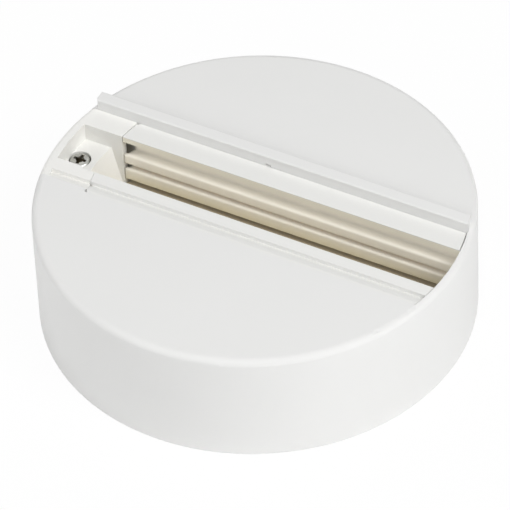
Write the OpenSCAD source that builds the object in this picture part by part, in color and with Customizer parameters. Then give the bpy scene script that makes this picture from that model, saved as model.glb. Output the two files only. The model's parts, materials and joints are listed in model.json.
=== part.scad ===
// Round surface canopy that holds a short piece of three-circuit lighting track.
// It is drawn with its ceiling face on z = 0 and its open front upwards.
// X runs along the track slot, with the cover screw at the -X end.

/* [Canopy] */
// Outer diameter of the canopy
body_d = 130; // [124:1:150]
// Height from the ceiling face to the flat front
body_h = 37.5; // [36:0.1:44]
// Thickness of the side wall
side_wall = 1.8; // [1.6:0.1:2.4]
// Thickness of the flat front
front_wall = 2.5; // [2.2:0.1:3.5]
// Rounding of the outer front edge
rim_round = 2; // [0.8:0.1:2.2]

/* [Rail and slot] */
// Clear width of the slot beside the end block
slot_w = 31.6; // [31:0.2:34]
// Width of the rail along the rear edge of the slot
rail_w = 4; // [3:0.1:5]
// Height of the rail above the flat front
rail_rise = 3.4; // [1:0.1:4.5]
// Rounding of the rail's two top edges
rail_round = 0.5; // [0.3:0.1:1]
// Thickness of the skirt that runs down beside the track body
skirt_t = 1.8; // [1.4:0.1:2.4]
// Depth of that skirt below the flat front's underside
skirt_drop = 2.4; // [1.6:0.1:2.6]

/* [Track body] */
// Depth of the track body's face below the flat front
track_drop = 0.4; // [0.2:0.1:0.8]
// Width of the opening that the adapter enters
adapter_w = 16.8; // [16:0.1:18]
// Thickness of the two lips beside the opening
lip_t = 2; // [1.8:0.1:2.6]
// Width of the front lip before its polarity step
step_lip_w = 3.9; // [3:0.1:4.6]
// Depth of that polarity step
step_drop = 1.4; // [0.6:0.1:1.5]
// Width of the flat edge outside the step, where the sloped floor has risen again
edge_t = 1.2; // [0.8:0.1:1.6]
// How far that edge reaches beyond the side of the slot
edge_reach = 1.4; // [1:0.1:1.8]
// Thickness of the track body's sides and floor
track_wall = 2; // [1.4:0.1:2.4]
// Free height for wires between the base plate and the track body
wiring_gap = 5; // [4.4:0.1:6]
// Width of each fixing ear along the slot
ear_w = 12; // [9:0.5:16]
// Thickness of the fixing ears
ear_t = 3; // [2.4:0.1:4]
// Distance of the fixing ears from the middle, along the slot
ear_x = 40; // [34:0.5:42]
// Gap between the far end of the track body and the canopy's wall
end_gap = 0.4; // [0.2:0.1:0.8]

/* [Insulators] */
// Height of the wide groove that the adapter's locking cams turn into
cam_groove_h = 4.9; // [4:0.1:5.4]
// Depth of that groove
cam_groove_depth = 3.2; // [2:0.1:3.6]
// Height of the rib above the first conductor groove
rib_h = 4.3; // [3.6:0.1:4.8]
// Height of the rib between the two conductor grooves
mid_rib_h = 4.9; // [4:0.1:5.4]
// Height of each conductor groove
wire_groove_h = 1.4; // [1.2:0.1:1.8]
// Depth of each conductor groove
wire_groove_depth = 4; // [3:0.1:4.4]
// Rounding of the upper rib edges
rib_round = 0.6; // [0.2:0.1:0.8]
// Rounding of the lower edges of the two upper ribs
rib_foot_round = 1.4; // [0.6:0.1:1.6]
// Free space behind the rib faces at the seam, where a feed or end piece plugs in
plug_gap = 0.9; // [0.6:0.1:1.6]

/* [Conductors] */
// Thickness of each copper conductor, measured across the slot
conductor_t = 1; // [0.6:0.1:1.4]
// How far each conductor stops short of the ends of the track body
conductor_inset = 4; // [3:0.5:8]
// Thickness of the earth strip under the front lip
earth_t = 0.6; // [0.4:0.1:0.8]
// Width of the feed tabs that reach out through the side
tab_w = 3; // [2:0.2:3.4]
// Thickness of the feed tabs
tab_t = 0.8; // [0.5:0.1:1]
// How far the feed tabs stand out of the track body
tab_reach = 3.5; // [2.5:0.5:5]

/* [End block] */
// Height of the window in the side wall, from the ceiling face to its sill
sill_z = 12; // [9:0.5:16]
// Radius of the curved seam between the end block and the track body
seam_r = 65; // [50:1:100]
// Distance from the middle to the crown of that seam
seam_x = 48.9; // [46:0.1:50]
// Turn of the end block's side of the seam, which opens the gap towards the rail
seam_skew = 0.5; // [0:0.1:0.6]
// Depth of the screw pocket below the face of the end block
pocket_depth = 6; // [4.6:0.1:7]
// How far the pocket's front wall stands inside the adapter opening
pocket_step = 0.7; // [0:0.1:1.2]
// Thickness of the outer wall beside the pocket
pocket_wall = 3.2; // [2.8:0.1:3.6]
// Wall thickness of the end block elsewhere
block_wall = 1.8; // [1.4:0.1:2.2]
// Radius of the hollow end wall of the adapter slot, at the pocket floor
scoop_r = 36; // [24:1:60]
// Distance from the cover screw to that end wall, at the pocket floor
scoop_reach = 5.1; // [4.9:0.1:6]
// Lean of that end wall from the upright, in degrees
scoop_lean = 13; // [8:0.5:14]
// Rounding of the block's outer top edge
block_round = 1.6; // [0.6:0.1:2]

/* [Cover screw] */
// Thread diameter of the cover screw
screw_d = 3.4; // [3:0.1:3.8]
// Head diameter of the cover screw
head_d = 6.2; // [5.8:0.1:6.6]
// Head height of the cover screw
head_h = 2.4; // [2:0.1:2.8]
// Diameter of the boss that takes the cover screw
boss_d = 8.4; // [7.8:0.1:8.8]
// Height of that boss above the ceiling face
boss_h = 22; // [20:0.5:23]
// Length of the brass insert in the boss
insert_l = 8; // [6:0.5:10]
// Outer diameter of the brass insert
insert_d = 5.2; // [4.8:0.1:5.6]

/* [Base plate] */
// Thickness of the base plate
base_t = 2.5; // [2:0.1:3]
// Distance between the two ceiling fixing slots
fixing_pitch = 84; // [70:1:90]
// Length of each fixing slot
fixing_slot_l = 12; // [8:0.5:14]
// Width of each fixing slot
fixing_slot_w = 5; // [4:0.1:6]
// Height of the locating rim above the plate
locate_h = 3; // [2:0.1:3.4]

/* [Terminal block] */
// Spacing of the poles
pole_pitch = 7; // [6.6:0.1:7.4]
// Depth of the terminal block, front to back
block_depth = 14; // [12:0.5:15]
// Height of the terminal block
block_h = 13; // [11:0.5:16]
// Position of the middle pole along the slot
block_x = 8; // [6:0.5:9]
// Distance from the terminal block to the edge of the base plate
block_inset = 12; // [10.5:0.5:13]
// Outer diameter of the internal leads
lead_d = 2.4; // [1.8:0.1:2.8]
// Bend radius of the internal leads
lead_bend = 3; // [2:0.1:3.2]

/* [Cable entry] */
// Bore of the rubber grommet
cable_d = 9; // [7:0.5:10]
// Diameter of the hole in the base plate
entry_d = 15; // [13:0.5:16]
// Position of the cable entry along the slot
entry_x = -31; // [-33:0.5:-29]
// Position of the cable entry across the slot
entry_y = 33; // [31:0.5:34]
// Distance between the two cable clamp screws
clamp_pitch = 15; // [13:0.5:16]

/* [Hidden] */
$fn = 128;

// Clearances: parts that slide together, seated parts and the sides of the slot
fit_gap = 0.2;
seat_gap = 0.1;
side_gap = 0.1;
// Overlap that makes cuts and joins clean
eps = 0.01;

// Canopy levels and radii
body_r = body_d / 2;
inner_r = body_r - side_wall;
front_under = body_h - front_wall;
rail_top = body_h + rail_rise;
slot_half = slot_w / 2;
front_half = slot_half + edge_reach;
skirt_z = front_under - skirt_drop;

// Ribs and bosses under the flat front
rib_t = 1.4;
rib_depth = 2.8;
rib_pitch = 12;
rib_span = 24;
track_boss_d = 7;

// Ends of the rail and the latch notch in it
rail_far_gap = 0.4;
rail_far_shift = 0.7;
rail_end_x = -(inner_r - 2);
rail_end_round = 1;
latch_x = -4.6;
latch_w = 1.8;
latch_h = 0.9;
latch_depth = 0.6;

// Track body levels, counted down from its face
track_half = slot_half - side_gap;
track_top = body_h - track_drop;
lip_under = track_top - lip_t;
track_bottom = base_t + wiring_gap;
track_floor = track_bottom + track_wall;
track_end_r = inner_r - end_gap;
adapter_half = adapter_w / 2;
cavity_half = track_half - track_wall;
step_y = adapter_half + step_lip_w;
step_z = track_top - step_drop;
edge_y = front_half - side_gap;
edge_h = step_drop + 0.8;
edge_cut = 0.7;
corner_cut = 1.2;
corner_depth = 4;
relief_r = 0.6;
seam_cx = seam_r - seam_x;
ear_reach = 5.8;
ear_y = slot_half + ear_reach;
ear_margin = 4;
ear_z = 12;
ear_top = ear_z + ear_t;
pilot_l = 12;
track_screw_grip = 8;

// Insulator levels and faces
rib_top = lip_under - cam_groove_h;
wire_1_top = rib_top - rib_h;
mid_rib_top = wire_1_top - wire_groove_h;
wire_2_top = mid_rib_top - mid_rib_h;
low_rib_top = wire_2_top - wire_groove_h;
insulator_back = cavity_half - seat_gap;
insulator_foot = track_floor + seat_gap;
insulator_head = lip_under - seat_gap;
cam_groove_y = adapter_half + cam_groove_depth;
wire_groove_y = adapter_half + wire_groove_depth;
conductor_h = wire_groove_h - 2 * seat_gap;
plug_y = adapter_half + 0.8;
plug_lean = 23;

// Cover screw, its boss and the pocket round it
screw_x = -(inner_r - boss_d / 2 - 2.5 * fit_gap);
pocket_floor = track_top - pocket_depth;
head_seat = pocket_floor - head_h;
head_clear = 0.3;
screw_clear = 0.2;
scoop_cx = screw_x + scoop_reach + scoop_r;
block_foot = sill_z + fit_gap;
screw_tip = boss_h - insert_l - 3;
insert_wall_gap = 0.05;

// Base plate and its hooks
plate_r = inner_r - fit_gap;
locate_t = 1.6;
locate_open = 18;
gusset_t = 1.4;
gusset_reach = 2.5;
gusset_h = 9.9;
hook_w = 12;
hook_t = 1.8;
hook_h = 4.6;
ledge_t = 1.5;
ledge_depth = 2.2;
ledge_z = base_t + 0.7;
hook_x = inner_r - ledge_depth - fit_gap - hook_t - 0.3;

// Terminal block and its fixings
pole_count = 5;
pole_half = (pole_count - 1) / 2;
terminal_l = pole_count * pole_pitch + 2;
block_y = plate_r - block_inset - block_depth;
terminal_z = base_t;
clamp_bar = 5;
clamp_l = block_depth - 2;
wire_rise = 4.6;
wire_z = terminal_z + wire_rise;
wire_hole_d = 3.4;
terminal_screw_d = 2.8;
lead_cross = 4;
terminal_screw_y = 3.2;
terminal_screw_sink = 1.5;
terminal_screw_bite = 0.9;
terminal_screw_foot = wire_z + terminal_screw_bite;
screw_well_d = 4;
driver_slot_w = 0.6;
driver_slot_depth = 1;
barrier_w = 0.8;
barrier_depth = 3;
lug_w = 6;
lug_d = 8;
lug_t = 3;
post_h = 4;
post_d = 6;
small_screw_d = 2.6;
small_head_d = 5.2;
small_head_h = 2;
small_recess = 1.2;
small_clear = 0.25;
screw_end_gap = 0.5;

// Cable clamp
clamp_w = 5;
clamp_x = block_x - terminal_l / 2 - lug_w - fit_gap - clamp_w / 2;
clamp_y = 28;
clamp_t = 3;
clamp_gap = 4;
clamp_post_d = 5;
clamp_post_h = 3.5;

// Poles in their order along the block, with the level of each feed tab
function pole_x(i) = block_x + (i - pole_half) * pole_pitch;
wire_1_z = wire_1_top - wire_groove_h / 2;
wire_2_z = wire_2_top - wire_groove_h / 2;
earth_tab_z = rib_top + 1.2;
tab_end = track_half + tab_reach;
under_z = base_t + wiring_gap / 2;

// Small shapes used by several pieces

// Runs an outline drawn across the slot from x0 to x1
module along_slot(x0, x1) {
    translate([x0, 0, 0]) rotate([90, 0, 90]) linear_extrude(x1 - x0) children();
}

// Outline of a bar whose front corners are rounded by the radii top and foot
module rounded_bar(w, h, top, foot) {
    translate([foot, 0]) square([w - foot, foot + eps]);
    translate([0, foot]) square([w, h - top - foot]);
    translate([top, h - top - eps]) square([w - top, top + eps]);
    translate([top, h - top]) circle(top);
    translate([foot, foot]) circle(foot);
}

// Block given by its lowest and highest corners
module block_between(a, b) {
    translate(a) cube(b - a);
}

// Everything between the seam and the far end of the track body
module track_plan(z0, z1, inset = 0) {
    intersection() {
        translate([0, 0, z0]) cylinder(r = track_end_r - inset, h = z1 - z0);
        translate([seam_cx, 0, z0]) cylinder(r = seam_r - inset, h = z1 - z0);
    }
}

// Slotted hole along the slot direction
module slot_hole(l, w, h) {
    for (s = [-1, 1]) translate([s * (l - w) / 2, 0, 0]) cylinder(d = w, h = h);
    translate([-(l - w) / 2, -w / 2, 0]) cube([l - w, w, h]);
}

// Screw with a flat-bottomed round head, drawn head up with its seat on z = 0
module pan_screw(d, l, hd, hh, recess) {
    edge = hh * 0.35;
    difference() {
        union() {
            translate([0, 0, -l]) cylinder(d = d, h = l + eps);
            rotate_extrude() {
                square([hd / 2, hh - edge]);
                square([hd / 2 - edge, hh]);
                translate([hd / 2 - edge, hh - edge]) circle(edge);
            }
        }
        cross_recess(hd * 0.64, hh, recess);
    }
}

// Cross recess that narrows towards its bottom
module cross_recess(span, top, depth) {
    slot = span * 0.26;
    for (a = [0, 90]) rotate([0, 0, a]) {
        translate([-span / 2, -slot / 2, top - depth]) cube([span, slot, depth + eps]);
    }
    translate([0, 0, top - depth - 0.2]) cylinder(r1 = slot * 0.6, r2 = slot * 1.25, h = depth + 0.2 + eps);
}

// Quarter bend of a round lead from direction a to direction b, ending its corner at p
module lead_corner(p, a, b) {
    c = p - a * lead_bend + b * lead_bend;
    n = cross(-b, a);
    multmatrix([
        [-b[0], a[0], n[0], c[0]],
        [-b[1], a[1], n[1], c[1]],
        [-b[2], a[2], n[2], c[2]],
        [0, 0, 0, 1]
    ])
    rotate_extrude(angle = 90) translate([lead_bend, 0]) circle(d = lead_d, $fn = 32);
}

// Straight stretch of a round lead
module lead_straight(p, q) {
    v = q - p;
    l = norm(v);
    translate(p) rotate([0, acos(v[2] / l), atan2(v[1], v[0])]) cylinder(d = lead_d, h = l, $fn = 32);
}

// Round lead through points joined by square turns
module lead(points) {
    last = len(points) - 1;
    dirs = [for (i = [0:last - 1]) (points[i + 1] - points[i]) / norm(points[i + 1] - points[i])];
    for (i = [0:last - 1]) {
        p = points[i] + (i > 0 ? dirs[i] * lead_bend : [0, 0, 0]);
        q = points[i + 1] - (i < last - 1 ? dirs[i] * lead_bend : [0, 0, 0]);
        lead_straight(p, q);
        if (i > 0) lead_corner(points[i], dirs[i - 1], dirs[i]);
    }
}

// Canopy

// Turned form of the canopy: side wall, rounded edge and flat front
module canopy_shell() {
    rotate_extrude() difference() {
        union() {
            square([body_r, body_h - rim_round]);
            square([body_r - rim_round, body_h]);
            translate([body_r - rim_round, body_h - rim_round]) circle(rim_round);
        }
        translate([0, -eps]) square([inner_r, front_under + eps]);
        translate([-body_r, -eps]) square([body_r, body_h + 1]);
    }
}

// Outline of the rail on the rear edge of the slot
module rail_outline() {
    h = rail_top - front_under;
    translate([slot_half, front_under]) {
        square([rail_w, h - rail_round]);
        translate([rail_round, 0]) square([rail_w - 2 * rail_round, h]);
        for (y = [rail_round, rail_w - rail_round]) {
            translate([y, h - rail_round]) circle(rail_round);
        }
    }
}

// Plan of the rail: it follows the rim at the far end and is rounded beside the end block
module rail_plan() {
    r = rail_end_round;
    y1 = slot_half + rail_w;
    intersection() {
        translate([rail_far_shift, 0, 0]) cylinder(r = inner_r - rail_far_gap, h = rail_top + 1);
        block_between([0, slot_half, 0], [body_r, y1, rail_top + 1]);
    }
    block_between([rail_end_x + r, slot_half, 0], [eps, y1, rail_top + 1]);
    block_between([rail_end_x, slot_half + r, 0], [0, y1, rail_top + 1]);
    translate([rail_end_x + r, slot_half + r, 0]) cylinder(r = r, h = rail_top + 1);
}

// Skirt that runs down beside the track body
module skirt(y0) {
    block_between([-body_r, y0, skirt_z], [body_r, y0 + skirt_t, front_under + eps]);
}

// Ribs that stiffen the flat front between a skirt and the side wall
module front_ribs(y0) {
    for (x = [-rib_span:rib_pitch:rib_span]) {
        block_between(
            [x - rib_t / 2, y0 + skirt_t - eps, front_under - rib_depth],
            [x + rib_t / 2, body_r, front_under + eps]
        );
    }
}

// Boss that hangs from the flat front and takes one track body screw
module track_boss(y0) {
    translate([ear_x, ear_y, ear_top]) cylinder(d = track_boss_d, h = front_under - ear_top + eps);
    block_between(
        [ear_x - rib_t / 2, y0 + skirt_t - eps, skirt_z],
        [ear_x + rib_t / 2, ear_y, front_under + eps]
    );
}

module canopy_cover() {
    color("whitesmoke") difference() {
        union() {
            difference() {
                canopy_shell();
                // Opening for the track body, and the window for the end block
                intersection() {
                    translate([0, 0, sill_z]) cylinder(r = inner_r, h = body_h);
                    block_between([-body_r, -slot_half, sill_z], [body_r, slot_half, body_h + 1]);
                }
                block_between([-body_r - 1, -slot_half, sill_z], [0, slot_half, body_h + 1]);
                // Wider stretch of the opening for the track body's thin edge
                intersection() {
                    block_between([-body_r, -front_half, front_under - eps], [body_r, 0, body_h + 1]);
                    track_plan(front_under - eps, body_h + 1, -end_gap);
                }
            }
            intersection() {
                cylinder(r = body_r - eps, h = rail_top + 1);
                rail_plan();
                along_slot(-body_r, body_r) rail_outline();
            }
            intersection() {
                cylinder(r = inner_r + eps, h = body_h);
                union() {
                    for (y0 = [slot_half, front_half]) mirror([0, y0 > slot_half ? 1 : 0, 0]) {
                        skirt(y0);
                        front_ribs(y0);
                        for (m = [0, 1]) mirror([m, 0, 0]) track_boss(y0);
                    }
                }
            }
            // Ledge that the base plate's hook catches
            intersection() {
                difference() {
                    translate([0, 0, ledge_z]) cylinder(r = inner_r + eps, h = ledge_t);
                    cylinder(r = inner_r - ledge_depth, h = body_h);
                }
                block_between([0, -hook_w / 2 - 1, 0], [body_r, hook_w / 2 + 1, body_h]);
            }
        }
        // Small latch notch at the foot of the rail
        translate([latch_x, slot_half - eps, track_top]) cube([latch_w, latch_depth, latch_h]);
        // Pilot holes for the track body screws
        for (x = [-ear_x, ear_x], y = [-ear_y, ear_y]) {
            translate([x, y, ear_top - eps]) cylinder(d = small_screw_d + small_clear, h = pilot_l);
        }
    }
}

// Base plate

module base_plate() {
    color("gainsboro") difference() {
        union() {
            cylinder(r = plate_r, h = base_t);
            // Locating rim, open where the hook and the cover screw boss stand
            difference() {
                cylinder(r = plate_r, h = base_t + locate_h);
                translate([0, 0, -eps]) cylinder(r = plate_r - locate_t, h = body_h);
                block_between([-body_r, -locate_open, base_t], [body_r, locate_open, body_h]);
            }
            translate([screw_x, 0, 0]) cylinder(d = boss_d, h = boss_h);
            // Gussets that carry the boss
            for (a = [-50, 50]) translate([screw_x, 0, 0]) rotate([0, 0, a]) {
                block_between(
                    [0, -gusset_t / 2, base_t - eps],
                    [boss_d / 2 + gusset_reach, gusset_t / 2, gusset_h]
                );
            }
            hook();
            terminal_posts();
            clamp_posts();
        }
        for (s = [-1, 1]) {
            translate([s * fixing_pitch / 2, 0, -eps]) {
                slot_hole(fixing_slot_l, fixing_slot_w, base_t + 2 * eps);
            }
        }
        translate([entry_x, entry_y, -eps]) cylinder(d = entry_d, h = base_t + 2 * eps);
        // Screw hole, with its wider seat for the brass insert
        translate([screw_x, 0, base_t]) cylinder(d = screw_d + 2 * screw_clear, h = boss_h);
        translate([screw_x, 0, boss_h - insert_l]) cylinder(d = insert_d + 2 * insert_wall_gap, h = boss_h);
    }
}

// Hook at the far end that catches the ledge inside the canopy
module hook() {
    nib_z = ledge_z + ledge_t + fit_gap;
    top = base_t + hook_h;
    intersection() {
        cylinder(r = inner_r - ledge_depth - fit_gap, h = top);
        block_between([hook_x, -hook_w / 2, base_t - eps], [body_r, hook_w / 2, top]);
    }
    intersection() {
        cylinder(r = inner_r - 2 * fit_gap, h = top);
        block_between([hook_x, -hook_w / 2, nib_z], [body_r, hook_w / 2, top]);
    }
}

// Posts under the terminal block's lugs
module terminal_posts() {
    for (s = [-1, 1]) {
        translate([block_x + s * (terminal_l + lug_w) / 2, block_y + block_depth / 2, base_t - eps]) {
            difference() {
                cylinder(d = post_d, h = post_h + eps);
                translate([0, 0, eps]) cylinder(d = small_screw_d + small_clear, h = post_h + 1);
            }
        }
    }
}

// Posts that carry the cable clamp
module clamp_posts() {
    for (s = [-1, 1]) {
        translate([clamp_x, clamp_y + s * clamp_pitch / 2, base_t - eps]) {
            difference() {
                cylinder(d = clamp_post_d, h = clamp_post_h + eps);
                translate([0, 0, eps]) cylinder(d = small_screw_d + small_clear, h = clamp_post_h + 1);
            }
        }
    }
}

// Track body

// Outline of the channel: floor, sides, the two lips and the thin front edge
module track_outline() {
    difference() {
        union() {
            translate([-track_half, track_bottom]) square([2 * track_half, track_top - track_bottom]);
            translate([-edge_y, track_top - edge_h]) square([edge_y, edge_h]);
        }
        translate([-cavity_half, track_floor]) square([2 * cavity_half, lip_under - track_floor]);
        translate([-adapter_half, track_floor]) square([2 * adapter_half, track_top]);
        step_outline();
    }
}

// Outline of the polarity step: a square drop, and a floor that rises again outwards
module step_outline() {
    polygon([
        [-step_y, body_h + 1], [-step_y, step_z],
        [-edge_y + edge_t, track_top], [-edge_y + edge_t, body_h + 1]
    ]);
}

// Position along the slot of the track body's two ends, at the distance y from the middle
function seam_end(y) = seam_cx - sqrt(pow(seam_r, 2) - pow(y, 2));
function far_end(y) = sqrt(pow(track_end_r, 2) - pow(y, 2));

// Bevels on the outer corners of the front edge, and round reliefs in the step's corner
module edge_ends() {
    y = step_y + relief_r;
    for (x = [seam_end(edge_y), far_end(edge_y)]) {
        translate([x, -edge_y, track_top - edge_h - eps]) rotate([0, 0, 45]) {
            translate([-edge_cut / 2, -edge_cut / 2, 0]) cube([edge_cut, edge_cut, edge_h + 1]);
        }
    }
    for (x = [seam_end(y), far_end(y)]) {
        translate([x, -y, lip_under - eps]) cylinder(r = relief_r, h = lip_t + 1);
    }
    // Bevel on the rear corner at the seam
    translate([seam_end(track_half), track_half, track_top - corner_depth]) rotate([0, 0, 45]) {
        translate([-corner_cut / 2, -corner_cut / 2, 0]) cube([corner_cut, corner_cut, corner_depth + 1]);
    }
}

// One fixing ear
module track_ear() {
    block_between(
        [ear_x - ear_w / 2, track_half - track_wall / 2, ear_z],
        [ear_x + ear_w / 2, ear_y + ear_margin, ear_top]
    );
}

// Slots that the feed tabs pass through, cut from y0 outwards
module tab_slots(y0, clear) {
    w = tab_w + 2 * clear;
    t = tab_t + 2 * clear;
    l = track_half + 1 - y0;
    for (k = [
        [0, 1, wire_1_z], [1, 1, wire_2_z], [2, -1, wire_1_z], [3, -1, wire_2_z], [4, -1, earth_tab_z]
    ]) {
        y = k[1] > 0 ? y0 : -y0 - l;
        translate([pole_x(k[0]) - w / 2, y, k[2] - t / 2]) cube([w, l, t]);
    }
}

module track_body() {
    color("white") difference() {
        union() {
            intersection() {
                along_slot(-body_r, body_r) track_outline();
                track_plan(track_bottom, track_top);
            }
            for (m = [0, 1], s = [0, 1]) mirror([m, 0, 0]) mirror([0, s, 0]) track_ear();
        }
        for (x = [-ear_x, ear_x], y = [-ear_y, ear_y]) {
            translate([x, y, ear_z - eps]) cylinder(d = small_screw_d + 3 * small_clear, h = ear_t + 2 * eps);
        }
        tab_slots(cavity_half - eps, seat_gap);
        edge_ends();
    }
}

// Insulators

// Outline of one insulator, with its cam groove and two conductor grooves
module insulator_outline() {
    difference() {
        union() {
            translate([wire_groove_y, insulator_foot]) {
                square([insulator_back - wire_groove_y, insulator_head - insulator_foot]);
            }
            translate([cam_groove_y, rib_top - rib_round]) {
                square([insulator_back - cam_groove_y, insulator_head - rib_top + rib_round]);
            }
            depth = insulator_back - adapter_half;
            translate([adapter_half, wire_1_top]) {
                rounded_bar(depth, rib_h, rib_round, rib_foot_round);
            }
            translate([adapter_half, wire_2_top]) {
                rounded_bar(depth, mid_rib_h, rib_round, rib_foot_round);
            }
            translate([adapter_half, insulator_foot]) {
                rounded_bar(depth, low_rib_top - insulator_foot, rib_round, rib_round);
            }
        }
    }
}

// Space behind the rib faces at the seam, wider towards the back
module plug_space() {
    y1 = insulator_back + 1;
    x0 = seam_end(plug_y) + plug_gap;
    translate([0, 0, wire_2_top]) linear_extrude(track_top - wire_2_top) polygon([
        [-seam_x - 1, plug_y], [x0, plug_y],
        [x0 + (y1 - plug_y) * tan(plug_lean), y1], [-seam_x - 1, y1]
    ]);
}

module insulator(side) {
    difference() {
        intersection() {
            mirror([0, side < 0 ? 1 : 0, 0]) along_slot(-body_r, body_r) insulator_outline();
            track_plan(track_bottom, track_top, seat_gap);
        }
        tab_slots(wire_groove_y - conductor_t, seat_gap);
        mirror([0, side < 0 ? 1 : 0, 0]) plug_space();
    }
}

module insulator_rear() {
    color("antiquewhite") insulator(1);
}

module insulator_front() {
    color("antiquewhite") insulator(-1);
}

// Conductors

// One copper conductor lying at the back of its groove
module conductor(side, z) {
    x0 = -seam_x + conductor_inset;
    x1 = far_end(wire_groove_y) - conductor_inset;
    y0 = side > 0 ? wire_groove_y - conductor_t : -wire_groove_y;
    color("peru") translate([x0, y0, z - conductor_h / 2]) cube([x1 - x0, conductor_t, conductor_h]);
}

module conductor_l1() {
    conductor(1, wire_1_z);
}

module conductor_l2() {
    conductor(1, wire_2_z);
}

module conductor_l3() {
    conductor(-1, wire_1_z);
}

module conductor_n() {
    conductor(-1, wire_2_z);
}

// Strip under the front lip, with a leg and a tab that leave through the side
module earth_strip() {
    x0 = -seam_x + conductor_inset;
    x1 = far_end(cam_groove_y) - conductor_inset;
    x = pole_x(4);
    inner_y = adapter_half + 0.6;
    leg_y = cam_groove_y - earth_t - seat_gap;
    tab_z = earth_tab_z - tab_t / 2;
    color("lightgray") {
        block_between([x0, -cam_groove_y + seat_gap, lip_under - earth_t], [x1, -inner_y, lip_under]);
        block_between(
            [x - tab_w / 2, -cam_groove_y + seat_gap, tab_z],
            [x + tab_w / 2, -leg_y, lip_under]
        );
        block_between([x - tab_w / 2, -tab_end, tab_z], [x + tab_w / 2, -leg_y, tab_z + tab_t]);
    }
}

// Four tabs that join the conductors to the leads
module feed_tabs() {
    color("goldenrod") for (k = [
        [0, 1, wire_1_z], [1, 1, wire_2_z], [2, -1, wire_1_z], [3, -1, wire_2_z]
    ]) {
        l = tab_end - wire_groove_y;
        y = k[1] > 0 ? wire_groove_y : -tab_end;
        translate([pole_x(k[0]) - tab_w / 2, y, k[2] - tab_t / 2]) cube([tab_w, l, tab_t]);
    }
}

// End block

// Hollow, leaning end wall of the adapter slot, drawn as the space inside it
module scoop(grow) {
    drop = pocket_floor - block_foot + 1;
    shrink = drop * tan(scoop_lean);
    translate([scoop_cx, 0, block_foot - 1]) {
        cylinder(r1 = scoop_r - shrink + grow, r2 = scoop_r + grow, h = drop + eps);
    }
    translate([scoop_cx, 0, pocket_floor]) cylinder(r = scoop_r + grow, h = 2 * pocket_depth);
}

// Outer form of the end block, rounded along its outer top edge
module end_block_body() {
    difference() {
        intersection() {
            translate([0, 0, block_foot]) rotate_extrude() {
                h = track_top - block_foot;
                square([body_r, h - block_round]);
                square([body_r - block_round, h]);
                translate([body_r - block_round, h - block_round]) circle(block_round);
            }
            block_between([-body_r, -track_half, block_foot], [-seam_x / 2, track_half, track_top]);
        }
        translate([-seam_x, 0, 0]) rotate([0, 0, seam_skew]) {
            translate([seam_r, 0, 0]) cylinder(r = seam_r + fit_gap, h = body_h);
        }
    }
}

module end_block() {
    floor_t = head_h + block_wall - 1;
    color("white") difference() {
        union() {
            difference() {
                end_block_body();
                // Adapter slot end: everything inside the leaning wall
                intersection() {
                    scoop(0);
                    block_between([-body_r, -adapter_half, 0], [0, adapter_half, body_h]);
                }
                // Screw pocket
                intersection() {
                    translate([0, 0, pocket_floor]) cylinder(r = body_r - pocket_wall, h = body_h);
                    block_between(
                        [-body_r, -adapter_half + pocket_step, pocket_floor],
                        [scoop_cx, adapter_half, body_h]
                    );
                }
                // Polarity step that carries on from the track body
                intersection() {
                    cylinder(r = body_r - pocket_wall, h = body_h);
                    along_slot(-body_r, 0) step_outline();
                }
                // Hollow under the pocket floor
                difference() {
                    intersection() {
                        cylinder(r = inner_r, h = pocket_floor - floor_t);
                        block_between([-body_r, -adapter_half, 0], [0, adapter_half, body_h]);
                    }
                    scoop(block_wall);
                }
                // Hollows beside the pocket walls, under the face and open towards the seam
                for (s = [0, 1]) mirror([0, s, 0]) {
                    intersection() {
                        cylinder(r = body_r - pocket_wall, h = track_top - lip_t);
                        block_between(
                            [-body_r, adapter_half + block_wall, 0],
                            [0, track_half - block_wall, body_h]
                        );
                    }
                }
            }
            // Column that carries the screw head down to the boss
            intersection() {
                translate([screw_x, 0, boss_h]) cylinder(d = boss_d, h = pocket_floor - boss_h);
                cylinder(r = body_r - 1, h = body_h);
            }
        }
        translate([screw_x, 0, head_seat]) cylinder(d = head_d + 2 * head_clear, h = body_h);
        translate([screw_x, 0, 0]) cylinder(d = screw_d + 2 * screw_clear, h = body_h);
    }
}

// Fasteners

module cover_screw() {
    color("silver") translate([screw_x, 0, head_seat]) {
        pan_screw(screw_d, head_seat - screw_tip, head_d, head_h, head_h * 0.62);
    }
}

module screw_insert() {
    color("darkgoldenrod") translate([screw_x, 0, boss_h - insert_l]) difference() {
        cylinder(d = insert_d, h = insert_l);
        translate([0, 0, -eps]) cylinder(d = screw_d + screw_clear, h = insert_l + 2 * eps);
    }
}

// Four screws that hold the track body's ears to the canopy's bosses
module track_screws() {
    color("silver") for (x = [-ear_x, ear_x], y = [-ear_y, ear_y]) {
        translate([x, y, ear_z]) mirror([0, 0, 1]) {
            pan_screw(small_screw_d, ear_t + track_screw_grip, small_head_d, small_head_h, small_recess);
        }
    }
}

// Terminal block and leads

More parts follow.
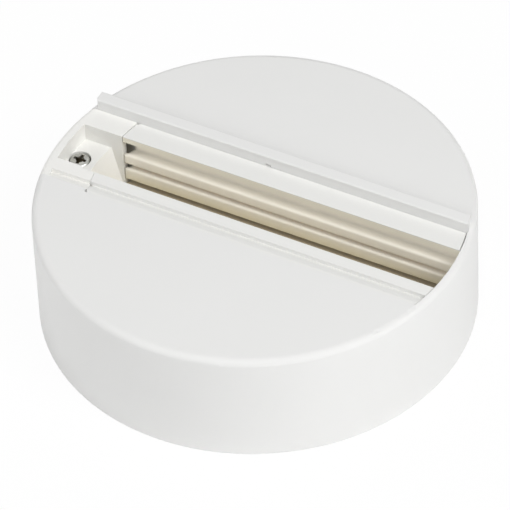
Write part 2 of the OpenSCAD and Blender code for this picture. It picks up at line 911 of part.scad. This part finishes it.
module terminal_block() {
    x0 = block_x - terminal_l / 2;
    color("ivory") difference() {
        union() {
            translate([x0, block_y, terminal_z]) cube([terminal_l, block_depth, block_h]);
            translate([x0 - lug_w, block_y + (block_depth - lug_d) / 2, terminal_z + post_h]) {
                cube([terminal_l + 2 * lug_w, lug_d, lug_t]);
            }
        }
        for (i = [0:pole_count - 1]) {
            // Passage for one clamp, open at both faces
            w = clamp_bar + 2 * seat_gap;
            translate([pole_x(i) - w / 2, block_y - eps, wire_z - w / 2]) {
                cube([w, block_depth + 2 * eps, w]);
            }
            for (s = [-1, 1]) {
                translate([pole_x(i), block_y + block_depth / 2 + s * terminal_screw_y, wire_z]) {
                    cylinder(d = screw_well_d, h = block_h);
                }
            }
            // Barrier groove between neighbouring poles
            if (i > 0) {
                translate([
                    pole_x(i) - (pole_pitch + barrier_w) / 2, block_y - eps, terminal_z + block_h - barrier_depth
                ]) {
                    cube([barrier_w, block_depth + 2 * eps, barrier_depth + eps]);
                }
            }
        }
        for (s = [-1, 1]) {
            translate([block_x + s * (terminal_l + lug_w) / 2, block_y + block_depth / 2, terminal_z]) {
                cylinder(d = small_screw_d + 3 * small_clear, h = block_h);
            }
        }
    }
}

module terminal_clamps() {
    color("darkgoldenrod") for (i = [0:pole_count - 1]) {
        y0 = block_y + (block_depth - clamp_l) / 2;
        difference() {
            translate([pole_x(i) - clamp_bar / 2, y0, wire_z - clamp_bar / 2]) {
                cube([clamp_bar, clamp_l, clamp_bar]);
            }
            translate([pole_x(i), y0 - eps, wire_z]) rotate([-90, 0, 0]) {
                cylinder(d = wire_hole_d, h = clamp_l + 2 * eps);
            }
            for (s = [-1, 1]) {
                translate([pole_x(i), block_y + block_depth / 2 + s * terminal_screw_y, wire_z]) {
                    cylinder(d = terminal_screw_d + 2 * seat_gap, h = clamp_bar);
                }
            }
        }
    }
}

module terminal_screws() {
    l = terminal_z + block_h - terminal_screw_sink - terminal_screw_foot;
    d = terminal_screw_d;
    color("silver") for (i = [0:pole_count - 1], s = [-1, 1]) {
        translate([pole_x(i), block_y + block_depth / 2 + s * terminal_screw_y, terminal_screw_foot]) {
            difference() {
                cylinder(d = d, h = l);
                translate([-d, -driver_slot_w / 2, l - driver_slot_depth]) {
                    cube([2 * d, driver_slot_w, 2 * driver_slot_depth]);
                }
            }
        }
    }
}

// Two screws that hold the terminal block's lugs to their posts
module block_screws() {
    color("silver") for (s = [-1, 1]) {
        translate([
            block_x + s * (terminal_l + lug_w) / 2,
            block_y + block_depth / 2,
            terminal_z + post_h + lug_t
        ]) {
            pan_screw(
                small_screw_d, lug_t + post_h - screw_end_gap, small_head_d, small_head_h, small_recess
            );
        }
    }
}

// Lead to a rear feed tab: out of the terminal, then up and across to the tab
module rear_lead(i, z) {
    x = pole_x(i);
    mid = (block_y + tab_end) / 2;
    lead([[x, block_y, wire_z], [x, mid, wire_z], [x, mid, z], [x, tab_end, z]]);
}

// Lead to a front feed tab: out of the terminal, under the track body and up
module front_lead(i, z) {
    x = pole_x(i);
    mid = (block_y + tab_end) / 2;
    far = -tab_end - lead_bend - lead_d;
    bent_z = under_z + 2 * lead_bend + 0.5;
    lead([
        [x, block_y, wire_z], [x, mid + lead_cross, wire_z], [x, mid + lead_cross, bent_z + lead_bend],
        [x, mid - lead_cross, bent_z + lead_bend], [x, mid - lead_cross, under_z],
        [x, far, under_z], [x, far, z], [x, -tab_end, z]
    ]);
}

module lead_l1() {
    color("saddlebrown") rear_lead(0, wire_1_z);
}

module lead_l2() {
    color("dimgray") rear_lead(1, wire_2_z);
}

module lead_l3() {
    color("gray") front_lead(2, wire_1_z);
}

module lead_n() {
    color("royalblue") front_lead(3, wire_2_z);
}

module lead_earth() {
    color("yellowgreen") front_lead(4, earth_tab_z);
}

// Cable entry

// Saddle over the supply cable, hollowed along its underside
module cable_clamp() {
    l = clamp_pitch + clamp_post_d;
    z0 = base_t + clamp_post_h;
    color("whitesmoke") translate([clamp_x, clamp_y, z0]) difference() {
        union() {
            translate([-clamp_w / 2, -l / 2, 0]) cube([clamp_w, l, clamp_t]);
            translate([-clamp_w / 2, 0, clamp_t]) rotate([0, 90, 0]) cylinder(r = clamp_gap, h = clamp_w);
        }
        translate([-clamp_w / 2 - eps, 0, 0]) rotate([0, 90, 0]) {
            cylinder(r = cable_d / 2 - 0.5, h = clamp_w + 2 * eps);
        }
        translate([-clamp_w, -l, -body_h]) cube([2 * clamp_w, 2 * l, body_h]);
        for (s = [-1, 1]) translate([0, s * clamp_pitch / 2, -eps]) {
            cylinder(d = small_screw_d + 3 * small_clear, h = clamp_t + 2 * eps);
        }
    }
}

module clamp_screws() {
    color("silver") for (s = [-1, 1]) {
        translate([clamp_x, clamp_y + s * clamp_pitch / 2, base_t + clamp_post_h + clamp_t]) {
            pan_screw(
                small_screw_d, clamp_t + clamp_post_h - screw_end_gap, small_head_d, small_head_h, small_recess
            );
        }
    }
}

// Rubber grommet whose groove sits on the edge of the plate
module cable_grommet() {
    lip = 1.6;
    color("dimgray") translate([entry_x, entry_y, 0]) rotate_extrude() {
        translate([cable_d / 2, 0]) square([entry_d / 2 - seat_gap - cable_d / 2, base_t + lip]);
        translate([cable_d / 2, base_t + eps]) square([(entry_d - cable_d) / 2 + lip, lip]);
    }
}

canopy_cover();
base_plate();
track_body();
end_block();
insulator_rear();
insulator_front();
conductor_l1();
conductor_l2();
conductor_l3();
conductor_n();
earth_strip();
feed_tabs();
cover_screw();
screw_insert();
track_screws();
terminal_block();
terminal_clamps();
terminal_screws();
block_screws();
cable_clamp();
clamp_screws();
cable_grommet();
lead_l1();
lead_l2();
lead_l3();
lead_n();
lead_earth();
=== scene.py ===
"""Looks of a round track ceiling canopy: white moulded plastic, a coated track body,
ivory insulators, copper and plated steel, on a plain pale floor."""

import json
import math

import bpy
from mathutils import Matrix, Vector

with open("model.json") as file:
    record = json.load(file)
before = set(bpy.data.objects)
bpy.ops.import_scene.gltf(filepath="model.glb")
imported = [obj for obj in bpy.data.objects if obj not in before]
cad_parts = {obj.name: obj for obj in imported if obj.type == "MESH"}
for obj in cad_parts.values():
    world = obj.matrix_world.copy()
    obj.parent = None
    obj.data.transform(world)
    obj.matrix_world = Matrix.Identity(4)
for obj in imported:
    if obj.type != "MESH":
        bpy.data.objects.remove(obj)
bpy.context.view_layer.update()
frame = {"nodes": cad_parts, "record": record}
nodes = frame["nodes"]
MM = 0.001

# Colours as they look in plain light, in sRGB; those marked painted stand for light or shade, not
# the things' own colour
WHITE = (0.905, 0.905, 0.900)
BLOCK_WHITE = (0.930, 0.928, 0.915)
TRACK_WHITE = (0.905, 0.905, 0.895)
# painted light: warm bounce from the ivory ribs, laid on the faces of the track's lips
PAINTED_BOUNCE_WHITE = (0.955, 0.938, 0.880)
IVORY = (0.940, 0.920, 0.873)
# painted shade: darker, warmer ivory towards the foot of the ribs
PAINTED_SHADE_IVORY = (0.900, 0.860, 0.710)
# painted shade: dull dark ivory in the lowest groove
GROOVE_PAINTED_SHADE = (0.62, 0.57, 0.46)
STEEL = (0.74, 0.74, 0.72)
# painted shade: the dark inside the cover screw's cross recess
RECESS_PAINTED_SHADE = (0.46, 0.43, 0.37)

# Places on the CAD model, in millimetres
SLOT_HALF = 8.6  # reach of the channel from the middle of the slot
LIP_FACE_DROP = 0.2  # depth below the lips' faces where the painted warm light starts
RIB_LIT, RIB_DARK = 24.0, 18.0  # heights between which painted shade darkens and warms the ivory
GROOVE_TOP, GROOVE_FOOT, GROOVE_BLEND = 19.5, 18.0, 0.2  # lowest groove, where painted shade lies, and the blend at its edges
RECESS_REACH, RECESS_SINK = 1.9, 0.5  # radius and depth of the painted shade in the cover screw's recess

# Roundings too fine for the solids, in millimetres
EDGE_WIDTHS = {"canopy_cover": 0.25, "end_block": 0.12, "track_body": 0.12}
EDGE_SEGMENTS = 2
EDGE_ANGLE = 35  # degrees between two faces, above which their edge is bevelled
IVORY_ROUNDING = 1.3  # in the shading alone

IVORY_PAINTED_GLOW = 0.05  # painted light: a faint glow of the ivory, standing in for the light that the plastic lets through
GRAIN_HEIGHT = 0.0001  # metres
NOISE_ROUGHNESS = 0.55
STRIPE_SIZE, STRIPE_FROM = 110.0, 0.62  # earth lead's stripe, and the wave height where it starts


# Node trees

def links(owner):
    """Shorthands for the owner's node tree: add a node with its values, link two sockets."""
    tree = owner.node_tree

    def add(kind, **values):
        node = tree.nodes.new(kind)
        for key, value in values.items():
            if hasattr(node, key):
                setattr(node, key, value)
            else:
                node.inputs[key.replace("_", " ")].default_value = value
        return node

    return add, tree.links.new


def combine(owner, operation, *sources):
    """Result of one operation on sources that are sockets or numbers."""
    add, link = links(owner)
    node = add("ShaderNodeMath", operation=operation)
    for i, source in enumerate(sources):
        if isinstance(source, bpy.types.NodeSocket):
            link(source, node.inputs[i])
        else:
            node.inputs[i].default_value = source
    return node.outputs[0]


def ramp(owner, source, start, end):
    """Share that rises from 0, where the source is at start, to 1, where it is at end."""
    add, link = links(owner)
    node = add("ShaderNodeMapRange", From_Min=start, From_Max=end)
    link(source, node.inputs["Value"])
    return node.outputs["Result"]


def place(owner, middle=(0, 0, 0)):
    """Place on the piece, in x, y and z from the middle."""
    add, link = links(owner)
    off = add("ShaderNodeVectorMath", operation="SUBTRACT")
    link(add("ShaderNodeTexCoord").outputs["Object"], off.inputs[0])
    off.inputs[1].default_value = middle
    parts = add("ShaderNodeSeparateXYZ")
    link(off.outputs[0], parts.inputs[0])
    return parts.outputs


def seen(owner):
    """1 for rays from the camera, off a glossy face or through a clear one, else 0."""
    path = links(owner)[0]("ShaderNodeLightPath")
    rays = path.outputs["Is Camera Ray"]
    for other in ("Is Glossy Ray", "Is Transmission Ray"):
        rays = combine(owner, "MAXIMUM", rays, path.outputs[other])
    return rays


# Materials

def srgb(v):
    return tuple(c / 12.92 if c <= 0.04045 else ((c + 0.055) / 1.055) ** 2.4 for c in v) + (1.0,)


def new_material(name):
    mat = bpy.data.materials.new(name)
    mat.use_nodes = True
    return mat, mat.node_tree.nodes["Principled BSDF"]


def surface(
    name, colour, rough, tint=0.012, tint_size=35, rough_var=0.06, grain=0.05, grain_size=2600,
    metallic=0.0, specular=0.5, stretch=(1, 1, 1), round_edge=0.0, glow=0.0,
):
    """A finish with a slow drift of tone, a change of gloss, and a fine grain in relief."""
    mat, shader = new_material(name)
    add, link = links(mat)
    base = srgb(colour)
    mapping = add("ShaderNodeMapping")
    mapping.inputs["Scale"].default_value = stretch
    link(add("ShaderNodeTexCoord").outputs["Object"], mapping.inputs["Vector"])

    def noise(size, detail):
        tex = add("ShaderNodeTexNoise", Scale=size, Detail=detail, Roughness=NOISE_ROUGHNESS)
        link(mapping.outputs["Vector"], tex.inputs["Vector"])
        return tex.outputs["Fac"]

    tone = add("ShaderNodeMix", data_type="RGBA")
    for socket, change in ((6, 1 - tint), (7, 1 + tint)):
        tone.inputs[socket].default_value = tuple(min(1.0, c * change) for c in base[:3]) + (1.0,)
    link(noise(tint_size, 3.0), tone.inputs[0])
    link(tone.outputs[2], shader.inputs["Base Color"])

    gloss = add("ShaderNodeMapRange", To_Min=rough - rough_var, To_Max=rough + rough_var)
    link(noise(tint_size * 6, 4.0), gloss.inputs["Value"])
    link(gloss.outputs["Result"], shader.inputs["Roughness"])

    bump = add("ShaderNodeBump", Strength=grain, Distance=GRAIN_HEIGHT)
    link(noise(grain_size, 2.0), bump.inputs["Height"])
    if round_edge:
        edge = add("ShaderNodeBevel", samples=8, Radius=round_edge * MM)
        link(edge.outputs["Normal"], bump.inputs["Normal"])
    link(bump.outputs["Normal"], shader.inputs["Normal"])

    shader.inputs["Metallic"].default_value = metallic
    shader.inputs["Specular IOR Level"].default_value = specular
    # painted light, where glow is set: the finish glows though it is no lamp
    shader.inputs["Emission Color"].default_value = base
    shader.inputs["Emission Strength"].default_value = glow
    return mat


def tint_where(mat, share, colour):
    """Lays a second colour over the finish, by the share."""
    add, link = links(mat)
    base = mat.node_tree.nodes["Principled BSDF"].inputs["Base Color"]
    tone = add("ShaderNodeMix", data_type="RGBA")
    link(share, tone.inputs[0])
    link(base.links[0].from_socket, tone.inputs[6])
    tone.inputs[7].default_value = srgb(colour)
    link(tone.outputs[2], base)


def extent(obj):
    """Lowest and highest corner of a CAD node."""
    corners = [obj.matrix_world @ Vector(c) for c in obj.bound_box]
    return [Vector(pick(c[i] for c in corners) for i in range(3)) for pick in (min, max)]


def two_tone_lead(name, ground, stripe):
    """Sleeve of the earth lead: green with a yellow stripe that winds round it."""
    mat = surface(name, ground, 0.42, grain=0.04)
    add, link = links(mat)
    wave = add("ShaderNodeTexWave", Scale=STRIPE_SIZE, Distortion=0.6, Detail=1.0)
    link(add("ShaderNodeTexCoord").outputs["Object"], wave.inputs["Vector"])
    tint_where(mat, combine(mat, "GREATER_THAN", wave.outputs["Fac"], STRIPE_FROM), stripe)
    return mat


def coated_track():
    """White coat of the track body, with painted warm light where the ivory ribs would light the
    faces of its lips.
    """
    mat = surface("coated_white", TRACK_WHITE, 0.40, grain=0.05, grain_size=1500)
    spot = place(mat)
    top = extent(nodes["track_body"])[1].z
    # painted light: warm tint inside the slot, below the top of the lips
    inside = combine(mat, "LESS_THAN", combine(mat, "ABSOLUTE", spot["Y"]), SLOT_HALF * MM)
    under = combine(mat, "LESS_THAN", spot["Z"], top - LIP_FACE_DROP * MM)
    tint_where(mat, combine(mat, "MULTIPLY", inside, under), PAINTED_BOUNCE_WHITE)
    return mat


def moulded_ivory():
    """Ivory plastic with a faint painted glow and painted shade: darker and warmer downwards, and
    darker still in its lowest groove.
    """
    # painted light: the ivory glows faintly, lifting its shaded recesses
    mat = surface(
        "moulded_ivory", IVORY, 0.36, tint=0.03, round_edge=IVORY_ROUNDING, glow=IVORY_PAINTED_GLOW
    )
    z = place(mat)["Z"]
    # painted shade: darker and warmer downwards over the ribs
    tint_where(mat, ramp(mat, z, RIB_LIT * MM, RIB_DARK * MM), PAINTED_SHADE_IVORY)
    # painted shade: dark band in the lowest groove
    under = ramp(mat, z, (GROOVE_TOP + GROOVE_BLEND) * MM, (GROOVE_TOP - GROOVE_BLEND) * MM)
    over = ramp(mat, z, (GROOVE_FOOT - GROOVE_BLEND) * MM, (GROOVE_FOOT + GROOVE_BLEND / 2) * MM)
    tint_where(mat, combine(mat, "MULTIPLY", under, over), GROOVE_PAINTED_SHADE)
    return mat


def steel_with_painted_recess_shade(screw):
    """Plated screw with painted shade in its cross recess, near its axis and below its face."""
    mat = surface("plated_screw_head", STEEL, 0.30, tint=0.08, grain=0.06, metallic=1.0)
    low, high = extent(screw)
    x, y, z = place(mat, ((low.x + high.x) / 2, (low.y + high.y) / 2, high.z))
    # painted shade: dark tint in the cross recess, near the axis and below the head's face
    square = combine(mat, "ADD", combine(mat, "MULTIPLY", x, x), combine(mat, "MULTIPLY", y, y))
    near = ramp(mat, combine(mat, "SQRT", square), RECESS_REACH * MM, 0.9 * RECESS_REACH * MM)
    deep = ramp(mat, z, -0.1 * RECESS_SINK * MM, -RECESS_SINK * MM)
    tint_where(mat, combine(mat, "MULTIPLY", near, deep), RECESS_PAINTED_SHADE)
    return mat


def sleeve(name, colour):
    return surface(name, colour, 0.40, tint=0.06, grain=0.04)


finish = {
    "canopy_white": surface(
        "moulded_white", WHITE, 0.66, grain=0.10, grain_size=1900, specular=0.15
    ),
    "track_white": coated_track(),
    "block_white": surface("moulded_block_white", BLOCK_WHITE, 0.46, grain=0.06, specular=0.45),
    "insulator_ivory": moulded_ivory(),
    "base_grey": surface("moulded_grey", (0.80, 0.80, 0.79), 0.55, grain=0.10),
    "copper": surface(
        "drawn_copper", (0.80, 0.53, 0.38), 0.30,
        tint=0.08, grain=0.06, metallic=1.0, stretch=(0.06, 1, 1),
    ),
    "brass": surface("turned_brass", (0.80, 0.68, 0.42), 0.28, tint=0.06, metallic=1.0),
    "zinc_steel": surface("plated_steel", STEEL, 0.26, tint=0.08, grain=0.06, metallic=1.0),
    "terminal_ivory": surface("terminal_moulding", (0.88, 0.86, 0.78), 0.45, tint=0.02, grain=0.06),
    "grommet_rubber": surface(
        "soft_rubber", (0.13, 0.13, 0.13), 0.62, tint=0.10, grain=0.16, grain_size=1400
    ),
    "lead_brown": sleeve("lead_brown_sleeve", (0.36, 0.20, 0.12)),
    "lead_black": sleeve("lead_black_sleeve", (0.08, 0.08, 0.08)),
    "lead_grey": sleeve("lead_grey_sleeve", (0.45, 0.45, 0.46)),
    "lead_blue": sleeve("lead_blue_sleeve", (0.10, 0.24, 0.62)),
    "lead_green_yellow": two_tone_lead("lead_earth_sleeve", (0.20, 0.52, 0.16), (0.92, 0.80, 0.12)),
}
finish_of = {part["node"]: finish[part["material_slot"]] for part in frame["record"]["subparts"]}
finish_of["cover_screw"] = steel_with_painted_recess_shade(nodes["cover_screw"])

for name, obj in nodes.items():
    obj.data.materials.clear()
    obj.data.materials.append(finish_of[name])
    for poly in obj.data.polygons:
        poly.material_index = 0

# Real moulded and coated edges aren't knife sharp: a small bevel catches the light
for name, width in EDGE_WIDTHS.items():
    bevel = nodes[name].modifiers.new("edge", "BEVEL")
    bevel.width = width * MM
    bevel.segments = EDGE_SEGMENTS
    bevel.limit_method = "ANGLE"
    bevel.angle_limit = math.radians(EDGE_ANGLE)
    bevel.use_clamp_overlap = True
    bevel.harden_normals = True


# Floor and world

FLOOR_SIZE = 6  # metres
FLOOR_GAP = 0.1  # millimetres below the base, so that the two faces never coincide
FLOOR_WHITE = 0.90
FLOOR_SHINE = 0.96  # share of plain white that the camera sees instead of the lit floor
SKY = 0.18
LAMP_AIM = Vector((0, 0, 0.02))


def floor_material():
    """Pale floor that keeps the object's soft shadow and reads as white to the camera."""
    mat, shader = new_material("studio_floor")
    add, link = links(mat)
    shader.inputs["Base Color"].default_value = (FLOOR_WHITE,) * 3 + (1,)
    shader.inputs["Roughness"].default_value = 0.9
    mix = add("ShaderNodeMixShader")
    link(combine(mat, "MULTIPLY", seen(mat), FLOOR_SHINE), mix.inputs[0])
    link(shader.outputs[0], mix.inputs[1])
    link(add("ShaderNodeEmission", Strength=1.0).outputs[0], mix.inputs[2])
    link(mix.outputs[0], mat.node_tree.nodes["Material Output"].inputs["Surface"])
    return mat


bpy.ops.mesh.primitive_plane_add(size=FLOOR_SIZE, location=(0, 0, -FLOOR_GAP * MM))
floor = bpy.context.object
floor.name = "studio_floor"
floor.data.materials.append(floor_material())

world = bpy.data.worlds.new("studio")
bpy.context.scene.world = world
world.use_nodes = True
add, link = links(world)
sky = world.node_tree.nodes["Background"]
sky.inputs["Color"].default_value = (1, 1, 1, 1)
sky.inputs["Strength"].default_value = SKY
mix = add("ShaderNodeMixShader")
link(seen(world), mix.inputs[0])
link(sky.outputs[0], mix.inputs[1])
link(add("ShaderNodeBackground", Strength=1.0).outputs[0], mix.inputs[2])
link(mix.outputs[0], world.node_tree.nodes["World Output"].inputs["Surface"])


# Lamps: a round soft light each, with its place and size in metres and its power in watts

def lamp(name, spot, size, power):
    data = bpy.data.lights.new(name, "AREA")
    data.shape = "DISK"
    data.size = size
    data.energy = power
    obj = bpy.data.objects.new(name, data)
    bpy.context.collection.objects.link(obj)
    obj.location = spot
    obj.rotation_euler = (LAMP_AIM - Vector(spot)).to_track_quat("-Z", "Y").to_euler()


lamp("right", (1.0, -0.25, 1.3), 0.8, 15.8)
lamp("key", (1.0, -0.2, 0.55), 0.9, 2.2)
lamp("front", (-0.2, -1.2, 0.7), 0.9, 3.2)
lamp("left", (-1.1, -0.35, 0.6), 0.9, 4.7)
lamp("back", (-0.5, 1.2, 0.6), 0.9, 2.6)
lamp("overhead", (0.1, -0.7, 1.4), 0.9, 1.5)


# Camera, fitted to the photograph. Lengths are in millimetres.

TURN, TILT, ROLL = math.radians(29.59), math.radians(44.34), math.radians(-2.71)
DISTANCE, SHIFT_X, SHIFT_Y = 1509.4, -0.459, -1.222
PIXELS_PER_MM = 3.408  # at that distance
PHOTO_WIDTH = 510
SENSOR_WIDTH = 36
AIM = Vector((0, 0, 18))

ahead = Vector((-math.sin(TURN) * math.cos(TILT), math.cos(TURN) * math.cos(TILT), -math.sin(TILT)))
level = Vector((math.cos(TURN), math.sin(TURN), 0))
upright = level.cross(ahead)
right = level * math.cos(ROLL) + upright * math.sin(ROLL)
up = upright * math.cos(ROLL) - level * math.sin(ROLL)
eye = AIM - ahead * DISTANCE + right * SHIFT_X + up * SHIFT_Y
camera = bpy.data.objects.new("camera", bpy.data.cameras.new("camera"))
bpy.context.collection.objects.link(camera)
camera.data.sensor_width = SENSOR_WIDTH
camera.data.lens = DISTANCE * PIXELS_PER_MM / PHOTO_WIDTH * SENSOR_WIDTH
camera.data.clip_start = 0.05
turn = Matrix((right, up, -ahead)).transposed().to_4x4()
camera.matrix_world = Matrix.Translation(eye * MM) @ turn
bpy.context.scene.camera = camera

bpy.context.scene.view_settings.view_transform = "Standard"
